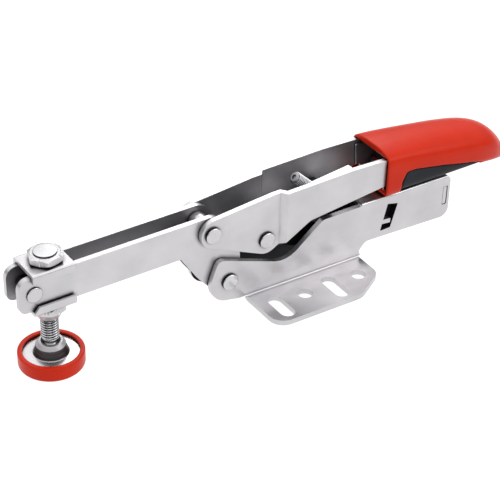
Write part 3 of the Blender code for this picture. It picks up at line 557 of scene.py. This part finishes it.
def skin(name, rings, matrix):
    """A closed surface through rings of (radius, turn, height), flat at both ends."""
    work = bmesh.new()
    made = []
    for ring in rings:
        verts = []
        for r, turn, h in ring:
            angle = 2 * math.pi * turn
            verts.append(work.verts.new((r * math.cos(angle) * MM, r * math.sin(angle) * MM, h * MM)))
        made.append(verts)
    lofted(work, made)
    return shaded(name, meshed(work, name, matrix), 50)


def grooved(piece, matrix, low, high, inner, outer, look):
    """Give a look to what lies between two heights and two radii of the matrix's axis."""
    local = matrix.inverted()

    def chosen(at, normal):
        here = local @ at
        return low < here.z / MM < high and inner < math.hypot(here.x, here.y) / MM < outer

    faced(piece, look, chosen)


def level(radius, h):
    """A plain ring of (radius, turn, height)."""
    return [(radius, k / THREAD_ROUND, h) for k in range(THREAD_ROUND)]


def hexed(flats, h):
    """A hexagonal ring, by its width across flats."""
    ring = []
    for k in range(THREAD_ROUND):
        turn = k / THREAD_ROUND
        off = (turn * 6) % 1.0 - 0.5
        ring.append((flats / 2 / math.cos(off * math.pi / 3), turn, h))
    return ring


def boolean(target, tool, operation):
    """Cut the tool's form from the target, or keep what both share, and remove the tool."""
    step = target.modifiers.new("cut", "BOOLEAN")
    step.operation = operation
    step.solver = "EXACT"
    step.object = tool
    settle(target)
    bpy.data.objects.remove(tool)


def settle(piece):
    """Apply the piece's modifiers."""
    graph = bpy.context.evaluated_depsgraph_get()
    mesh = bpy.data.meshes.new_from_object(piece.evaluated_get(graph))
    piece.modifiers.clear()
    piece.data = mesh


# The spindle's frame: its z runs up the spindle, and its zero lies above the centre of the ball
ball = Vector(joints["pad_tilt"]["pos_m"])
up = Vector(joints["spindle_slide"]["axis"])
SPINDLE = Matrix.Translation(ball - up * BALL_W * MM) @ Matrix.Rotation(math.atan2(up.x, up.z), 4, "Y")


# Pressed and machined pieces

def sheet_parts():
    """The pressed plates, and the plain machined pieces."""
    for node in ("base_body", "arm_plate_near", "arm_plate_far", "handle_plate_near", "handle_plate_far"):
        softened(node, ZINC, "zinc_plated_steel")
    low, high = WINDOW
    # The window's cut faces are black: painted shade.
    faced(bpy.data.objects["base_body_body"], BLACK_SHADE, lambda at, normal: (
        abs(normal.y) < 0.5 and low.x < at.x < high.x and low.z < at.z < high.z))
    for node in ("upper_saddle", "lower_saddle", "end_plate"):
        softened(node, ZINC, "zinc_plated_steel", FINE_EDGE)
    # The link, slider and screw block are near black: painted shade in the gaps.
    for node in ("toggle_link", "slider", "screw_block"):
        softened(node, STEEL_SHADED, "bright_steel")
    for vertex in bpy.data.objects["lower_saddle_body"].data.vertices:
        if abs(abs(vertex.co.y) / MM - SADDLE_IN) < 0.02:
            vertex.co.y += math.copysign(SADDLE_GAP * MM, vertex.co.y)


def pins():
    """Rivets, bushes, washers and the link's pin."""
    for node in ("base_rivet", "handle_rivet", "link_rivet"):
        headed(node, RIVET_HEAD)
    headed("tip_rivet", TIP_HEAD)
    for node in ("base_bush", "handle_bush"):
        bush(node, BUSH_BORE, STEEL)
    # The link's washers and the tip bush are near black: painted shade in the gaps.
    for node in ("link_washer_near", "link_washer_far"):
        bush(node, BUSH_BORE, STEEL_SHADED)
    bush("tip_bush", TIP_BORE, STEEL_SHADED)
    middle, half = centre_of("link_pin")
    side = [(0, half.y), (half.x, half.y, BREAK), (half.x, -half.y, BREAK), (0, -half.y)]
    dress(turned("link_pin_body", side, across(*middle)), STEEL, "bright_steel", "link_pin")


def hex_nut(node, low, high, cone=None):
    """A nut with a bore and both ends chamfered, or with a cone at its lower end."""
    foot = cone[0] if cone else low
    rim = NUT_AF / math.sqrt(3) + 0.4
    face = NUT_AF / 2 - NUT_FACE
    matrix = SPINDLE @ Matrix.Rotation(math.radians(NUT_TURN), 4, "Z")
    body = skin(node + "_body", [hexed(NUT_AF, foot), hexed(NUT_AF, high)], matrix)
    form = [(0, high), (face, high), (rim, high - NUT_DROP), (rim, low + NUT_DROP)]
    form += [(cone[1], low), (cone[2], foot), (0, foot)] if cone else [(face, low), (0, low)]
    boolean(body, turned("form", form, matrix), "INTERSECT")
    bore = [(0, high + 1), (NUT_BORE, high + 1), (NUT_BORE, foot - 1), (0, foot - 1)]
    boolean(body, turned("bore", bore, matrix), "DIFFERENCE")
    bevelled(body, NUT_EDGE, 22)
    evened(body, 80)
    dress(body, ZINC, "zinc_plated_steel", node)


def nuts():
    """The nuts above and below the saddles."""
    hex_nut("top_nut", *TOP_NUT)
    hex_nut("lock_nut", *LOCK_NUT, CONE)


def spindle():
    """The threaded rod, with a ball at its foot and a plain head."""
    rings = []
    start = math.asin(NECK_R / BALL_R)
    end = math.pi - 0.02
    for k in range(15):
        angle = end - (end - start) * k / 14
        rings.append(level(BALL_R * math.sin(angle), BALL_W + BALL_R * math.cos(angle)))
    rings.append(level(NECK_R, -3.7))
    rings += threaded(SPINDLE_R, SPINDLE_PITCH, SPINDLE_DEPTH, SPINDLE_LOW, SPINDLE_HIGH, 0.8)
    rings += [level(r, h) for r, h in ((4.9, 40.8), (5.0, 40.9), (5.0, 41.15), (4.85, 41.27), (4.4, 41.3))]
    rod = skin("spindle_body", rings, SPINDLE)
    dress(rod, STEEL, "bright_steel", "spindle")
    # Painted shade in the roots of the thread.
    grooved(rod, SPINDLE, -2.4, 36, 2.5, 3.6, STEEL_SHADE_AND_REFLECTION)


def pad():
    """The turned plate that is crimped over the ball, and the cap on its underside."""
    hollow = BALL_R + BALL_PLAY
    sweep = math.pi - math.asin(PAD_MOUTH / hollow)
    profile = [(0, BALL_W - hollow)]
    for k in range(1, 13):
        angle = sweep * k / 12
        profile.append((hollow * math.sin(angle), BALL_W - hollow * math.cos(angle)))
    profile += [(PAD_MOUTH + 0.6, -4.9, 0.1), (4.4, -4.5, 0.25), (5.3, -4.6, 0.5), (6.6, -6.6, 0.9),
                (6.9, -8.2, 0.6), (7.7, -10.3, 0.3), (7.9, -10.7, 0.15), (13.0, -10.7, 0.2),
                (13.0, -12.7, 0.2), (0, -12.7)]
    plate = turned("pad_plate_body", profile, SPINDLE)
    dress(plate, STEEL, "bright_steel", "pad_plate")
    # Painted dark reflection on the skirt, painted shade in the mouth, and a painted grey band of reflection
    # on the crimped ring
    grooved(plate, SPINDLE, -10.4, -6.3, 6.0, 8.2, STEEL_SHADE_AND_REFLECTION)
    grooved(plate, SPINDLE, -12, -4.7, 0, 4.15, STEEL_SHADE_AND_REFLECTION)
    grooved(plate, SPINDLE, -6.3, -4.4, 4.6, 6.8, ZINC_HALF_SHADED)
    cap = turned("pad_cap_body", [
        (0, -13.0), (13.3, -13.0, 0.2), (13.3, -10.4, 0.15), (12.3, -10.4, 0.3), (12.3, -9.4, 0.3),
        (14.5, -9.4, 0.7), (14.5, -16.7, 1.5), (0, -16.7)], SPINDLE)
    dress(cap, RED, "red_plastic", "pad_cap")


def adjusting_screw():
    """Socket screw, along its own slide."""
    along = Vector(joints["screw_slide"]["axis"])
    matrix = Matrix.Translation(SCREW_AT) @ Matrix.Rotation(math.atan2(along.x, along.z), 4, "Y")
    rings = threaded(SCREW_R, SCREW_PITCH, SCREW_DEPTH, SCREW_LOW, SCREW_HIGH, 0.9)
    rings += [hexed(2.2, 20.15), hexed(2.0, 20.0), hexed(2.0, 19.4)]
    screw = skin("adjusting_screw_body", rings, matrix)
    dress(screw, STEEL, "bright_steel", "adjusting_screw")
    # Painted shade in the roots of the thread, then in the socket
    grooved(screw, matrix, -8.4, 19.4, 1.5, 2.6, STEEL_SHADE_AND_REFLECTION)
    grooved(screw, matrix, 19.3, 21, 0, 2.8, ZINC_SHADED)


def spring():
    """Coil spring in the base, with closed ends."""
    low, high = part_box("return_spring")
    middle = (low + high) / 2
    start = low.x / MM + WIRE_R
    closed = 2 * WIRE_R + SPRING_SEAM
    loose = high.x / MM - WIRE_R - start - 2 * closed
    curve = bpy.data.curves.new("return_spring_path", "CURVE")
    curve.dimensions = "3D"
    curve.bevel_depth = WIRE_R * MM
    curve.bevel_resolution = 4
    curve.use_fill_caps = True
    line = curve.splines.new("POLY")
    count = SPRING_TURNS * SPRING_STEPS
    line.points.add(count)
    for k, point in enumerate(line.points):
        turn = SPRING_TURNS * k / count
        free = loose * (turn - 1) / (SPRING_TURNS - 2)
        x = start + closed * min(turn, 1) + min(max(free, 0), loose)
        x += closed * max(turn - SPRING_TURNS + 1, 0)
        angle = 2 * math.pi * turn
        y = middle.y + SPRING_R * math.cos(angle) * MM
        z = middle.z + SPRING_R * math.sin(angle) * MM
        point.co = (x * MM, y, z, 1)
    path = link(bpy.data.objects.new("return_spring_path", curve))
    graph = bpy.context.evaluated_depsgraph_get()
    mesh = bpy.data.meshes.new_from_object(path.evaluated_get(graph))
    bpy.data.objects.remove(path)
    # Near black: painted shade inside the base.
    dress(shaded("return_spring_body", mesh, 40), STEEL_SHADED, "bright_steel", "return_spring")


# Grip and what shows inside its mouth

def between(x):
    """The grip's measures at x, on a smooth curve through each column."""
    last = len(GRIP) - 1
    k = 0
    while k < last - 1 and x > GRIP[k + 1][0]:
        k += 1
    rows = [GRIP[max(k - 1, 0)], GRIP[k], GRIP[k + 1], GRIP[min(k + 2, last)]]
    span = rows[2][0] - rows[1][0]
    t = (x - rows[1][0]) / span
    values = []
    for before, low, high, after in list(zip(*rows))[1:]:
        rise_low = (high - before) / (rows[2][0] - rows[0][0]) * span
        rise_high = (after - low) / (rows[3][0] - rows[1][0]) * span
        values.append(low * (2 * t ** 3 - 3 * t ** 2 + 1) + rise_low * (t ** 3 - 2 * t ** 2 + t)
                      + high * (3 * t ** 2 - 2 * t ** 3) + rise_high * (t ** 3 - t ** 2))
    return values


def grip_form(name, floor_of):
    """Loft along the grip: an arch that gets rounder towards the tail, over a rounded underside."""
    work = bmesh.new()
    rings = []
    for row in range(GRIP_ROWS + 1):
        x = GRIP[0][0] + (GRIP[-1][0] - GRIP[0][0]) * math.sin(math.pi / 2 * row / GRIP_ROWS)
        half, crown, low, arch, sag = between(x)
        low = floor_of(low)
        ring = []
        for step in range(GRIP_ROUND):
            angle = 2 * math.pi * (step + 0.5) / GRIP_ROUND
            c, s = math.cos(angle), math.sin(angle)
            power = arch if s > 0 else FLOOR_POWER
            y = half * math.copysign(abs(c) ** (2 / power), c)
            rise = (crown - low) / 2 - (sag * (y / half) ** 2 if s > 0 else 0)
            z = (crown + low) / 2 + rise * math.copysign(abs(s) ** (2 / power), s)
            ring.append(work.verts.new((x * MM, y * MM, z * MM)))
        rings.append(ring)
    lofted(work, rings)
    return link(bpy.data.objects.new(name, meshed(work, name)))


def prism(name, side, high, low=None):
    """A side outline of (x, z[, fillet]) carried across, from -high to high or from low to high."""
    points = rounded(side)
    work = bmesh.new()
    start = -high if low is None else low
    near = [work.verts.new((point.x * MM, start * MM, point.y * MM)) for point in points]
    far = [work.verts.new((point.x * MM, high * MM, point.y * MM)) for point in points]
    work.faces.new(near)
    work.faces.new(list(reversed(far)))
    for k in range(len(points)):
        n = (k + 1) % len(points)
        work.faces.new((near[n], near[k], far[k], far[n]))
    return link(bpy.data.objects.new(name, meshed(work, name)))


def moulded(piece, look, slot, node):
    """The piece as one skin with small round edges, in place of the node."""
    net = piece.modifiers.new("net", "REMESH")
    net.mode = "VOXEL"
    net.voxel_size = VOXEL * MM
    soft = piece.modifiers.new("soft", "SMOOTH")
    soft.factor = 0.5
    soft.iterations = SMOOTHING
    settle(piece)
    piece.name = node + "_body"
    piece.data.polygons.foreach_set("use_smooth", [True] * len(piece.data.polygons))
    dress(piece, look, slot, node)


def merged(target, *others):
    """Put the others' faces into the target."""
    work = bmesh.new()
    for item in (target, *others):
        work.from_mesh(item.data)
    work.to_mesh(target.data)
    work.free()
    for item in others:
        bpy.data.objects.remove(item)


def grip():
    """The red shell with its arched mouth and skirt, and the dark insert in its palm side."""
    shell = grip_form("shell", lambda low: low)
    boolean(shell, prism("red_side", [
        (MOUTH_X, 31.2, 4.6), (LOBE_REAR, 31.2, 1.2), *RED_SIDE, (INSERT_END, 34.8), (INSERT_END, 10),
        (140, 10), (140, 70), (MOUTH_X, 70)], CUT_HALF), "INTERSECT")
    boolean(shell, prism("cavity", [
        (20, 38.5), (41.0, 38.5), (46.4, 39.2, 3), (LOBE_REAR + 0.6, 40.9), (LOBE_REAR + 0.6, 10),
        (INSERT_END - 1, 10), (INSERT_END - 1, 42.1), *TANG_SIDE], HOLLOW_HALF), "DIFFERENCE")
    boolean(shell, prism("mouth_pocket", [
        (30, 33.4), (48.7, 33.4, 1), (48.7, 45), (30, 45)], HOLLOW_HALF), "DIFFERENCE")
    moulded(shell, RED, "red_plastic", "grip_shell")
    insert = grip_form("insert", lambda low: min(max(low, 33.0), low + 1.8))
    dark = [(x, z - SEAM, *fillet) for x, z, *fillet in RED_SIDE]
    boolean(insert, prism("dark_side", [
        (LOBE_REAR + SEAM, 20), (INSERT_END - SEAM, 20), (INSERT_END - SEAM, 34.55), dark[4], dark[3],
        dark[2], (52.25, 43.65, 2), (LOBE_REAR + SEAM, 38.7, 2)], CUT_HALF), "INTERSECT")
    filling = prism("filling", [
        (51.1, 36.0), (94.7, 35.0), (94.7, 36.9), (91.7, 37.7), (70.6, 42.4), (57.2, 44.8), (53.1, 44.8),
        (51.1, 42.3)], FILLING_HALF)
    core = prism("core", [
        (51.1, 38.0), (91.7, 35.5), (91.7, 42.3), (70.0, 46.9), (60.0, 48.6, 1), (60.0, 41.0),
        (51.1, 41.0)], CORE_HALF)
    merged(insert, filling, core)
    moulded(insert, DARK, "dark_plastic", "grip_insert")


def linings():
    """Thin sheets inside the grip's mouth with painted shade on their faces, a dark wall across it as
    painted shade, and a black tray in the base as painted shade, with its lug.
    """
    for side, name in ((-1, "near"), (1, "far")):
        low, high = sorted((side * LINING_IN, side * LINING_OUT))
        sheet = prism("mouth_lining_" + name, [
            (40.3, 39.6), (42.6, 39.2, 0.5), (42.6, 34.4, 0.5), (48.4, 34.4), (48.4, 40.6), (60.0, 40.6),
            (60.0, 49.0), (39.3, 50.4, 0.6)], high, low)
        bevelled(sheet, LINING_EDGE, 30)
        added(sheet, ZINC, "handle_plate_near")
        # The linings' faces get darker zinc as painted shade.
        faced(sheet, ZINC_SHADED, lambda at, normal: abs(normal.y) > 0.6)
    # A black tray where the base is only in shade: painted shade that hides the floor seen through the
    # window.
    tray = prism("shade_tray", [(42.7, 9.4), (77.0, 9.4), (77.0, 27.6), (42.7, 27.6)], TRAY_HALF)
    channel = prism("tray_channel", [(40, 11.0), (80, 11.0), (80, 30), (40, 30)], CHANNEL_HALF)
    boolean(tray, channel, "DIFFERENCE")
    bevelled(tray, ADDED_EDGE, 30)
    added(tray, BLACK_SHADE, "base_body")
    lug = prism("guide_tray_lug", [
        (43.4, 15.9), (48.3, 15.4), (48.5, 17.8), (43.9, 18.2)], -TRAY_HALF, -LUG_OUT)
    bevelled(lug, ADDED_EDGE, 30)
    added(lug, ZINC, "base_body")
    # A dark sheet across the mouth: painted shade over the red lobe behind it.
    wall = prism("mouth_shade_wall", [(48.0, 34.4), (48.5, 34.4), (48.5, 41.6), (48.0, 41.6)], SHADE_WALL_HALF)
    bevelled(wall, SHADE_WALL_EDGE, 30)
    added(wall, DARK, "grip_insert")


# Stage

def floor():
    """A pale floor, level, under the lowest point of the object."""
    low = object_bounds()[0]
    mesh = bpy.data.meshes.new("floor")
    r = TABLE_REACH
    mesh.from_pydata([(-r, -r, 0), (r, -r, 0), (r, r, 0), (-r, r, 0)], [], [(0, 1, 2, 3)])
    item = link(bpy.data.objects.new("floor", mesh))
    item.location = (0, 0, low.z - TABLE_GAP)
    made, tree, shader = blank("pale_floor", 0.0, 0.9)
    shader.inputs["Base Color"].default_value = (0.16, 0.16, 0.16, 1)
    shader.inputs["Specular IOR Level"].default_value = 0.0
    shader.inputs["Emission Color"].default_value = (1, 1, 1, 1)
    shader.inputs["Emission Strength"].default_value = TABLE
    mesh.materials.append(made)
    item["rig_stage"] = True


def camera():
    """The camera, by its place and its three angles."""
    a, e, r = (math.radians(x) for x in (CAMERA_TURN, CAMERA_TILT, CAMERA_ROLL))
    back = Vector((math.sin(a) * math.cos(e), -math.cos(a) * math.cos(e), math.sin(e)))
    level_right = Vector((math.cos(a), math.sin(a), 0))
    level_up = back.cross(level_right)
    right = level_right * math.cos(r) + level_up * math.sin(r)
    top = level_up * math.cos(r) - level_right * math.sin(r)
    data = bpy.data.cameras.new("camera")
    data.lens = FOCAL
    data.sensor_width = 36
    data.clip_start = 0.01
    data.clip_end = 20
    item = link(bpy.data.objects.new("camera", data))
    matrix = Matrix((right, top, back)).transposed().to_4x4()
    matrix.translation = Vector(CAMERA_AT) * MM
    item.matrix_world = matrix
    bpy.context.scene.camera = item


def softbox(name, at, toward, width, height, power):
    """A rectangular softbox, by its place, its aim, its size in metres and its watts."""
    data = bpy.data.lights.new(name, "AREA")
    data.shape = "RECTANGLE"
    data.size = width
    data.size_y = height
    data.energy = power
    item = link(bpy.data.objects.new(name, data))
    item.location = at
    item.rotation_mode = "QUATERNION"
    item.rotation_quaternion = (Vector(toward) - Vector(at)).to_track_quat("-Z", "Y")


def light():
    """A sky that is pale above and dark below, and three softboxes."""
    world = bpy.data.worlds.new("studio")
    bpy.context.scene.world = world
    world.use_nodes = True
    tree = world.node_tree
    sky = tree.nodes["Background"]
    sky.inputs["Strength"].default_value = SKY
    place = tree.nodes.new("ShaderNodeTexCoord")
    split = tree.nodes.new("ShaderNodeSeparateXYZ")
    tree.links.new(place.outputs["Generated"], split.inputs["Vector"])
    colour = blend(tree, split.outputs["Z"], SKY_GREYS)
    tree.links.new(colour, sky.inputs["Color"])
    softbox("overhead", (0.1, 0.25, 0.9), (0, 0, 0), 1.2, 0.8, OVERHEAD)
    softbox("front_right", (0.50, -0.6, 0.5), (0, 0, 0.02), 0.5, 0.4, FRONT_RIGHT)
    softbox("rear_right", (0.40, 0.60, 0.60), (0.05, 0, 0.05), 0.35, 0.3, REAR_RIGHT)
    bpy.context.scene.view_settings.view_transform = "Standard"


sheet_parts()
pins()
nuts()
spindle()
pad()
adjusting_screw()
spring()
grip()
linings()
floor()
camera()
light()
